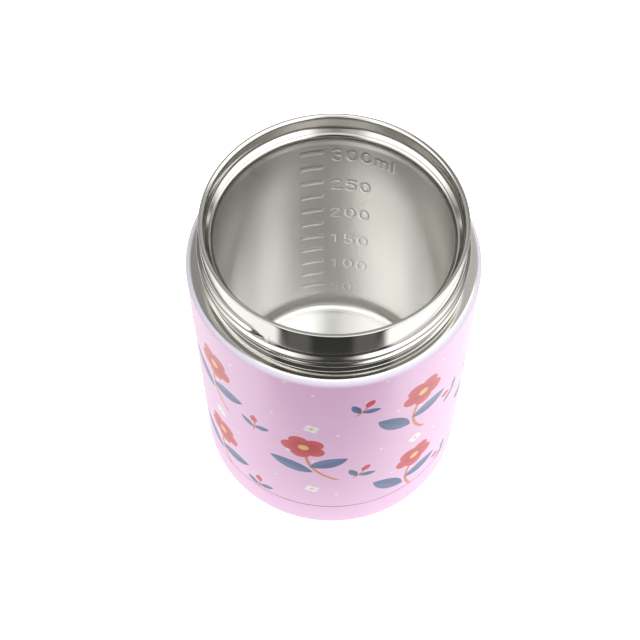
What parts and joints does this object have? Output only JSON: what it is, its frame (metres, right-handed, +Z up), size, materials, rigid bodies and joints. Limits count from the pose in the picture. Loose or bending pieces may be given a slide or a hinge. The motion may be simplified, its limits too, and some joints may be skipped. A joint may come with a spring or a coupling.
{
  "type": "insulated food jar",
  "caption": "Open vacuum-insulated steel food jar with a round painted body, a rolled screw neck, a gasket ledge and a straight food well with a pressed volume scale.",
  "frame": {"origin": "centre of the base, on the plane the jar stands on", "axes": "+Z up along the jar's axis; -Y to the front, +Y towards the side of the well that carries the volume scale"},
  "size_m": [0.0834, 0.0834, 0.1143],
  "materials": {
    "painted_shell": "satin pink paint with a printed pattern; bare polished steel neck",
    "liner_steel": "satin electropolished",
    "bottom_steel": "bright pressed",
    "copper": "bright foil",
    "plain_steel": "plain",
    "solder_glass": "dark fused bead",
    "getter": "sintered tablet",
    "painted_cover": "satin pink paint"
  },
  "bodies": {
    "root": {"outer_shell": "painted_shell", "inner_liner": "liner_steel", "liner_bottom": "bottom_steel", "copper_foil": "copper", "vacuum_base": "plain_steel", "seal_bead": "solder_glass", "getter_tray": "plain_steel", "getter_pill": "getter", "base_cover": "painted_cover"}
  },
  "joints": []
}
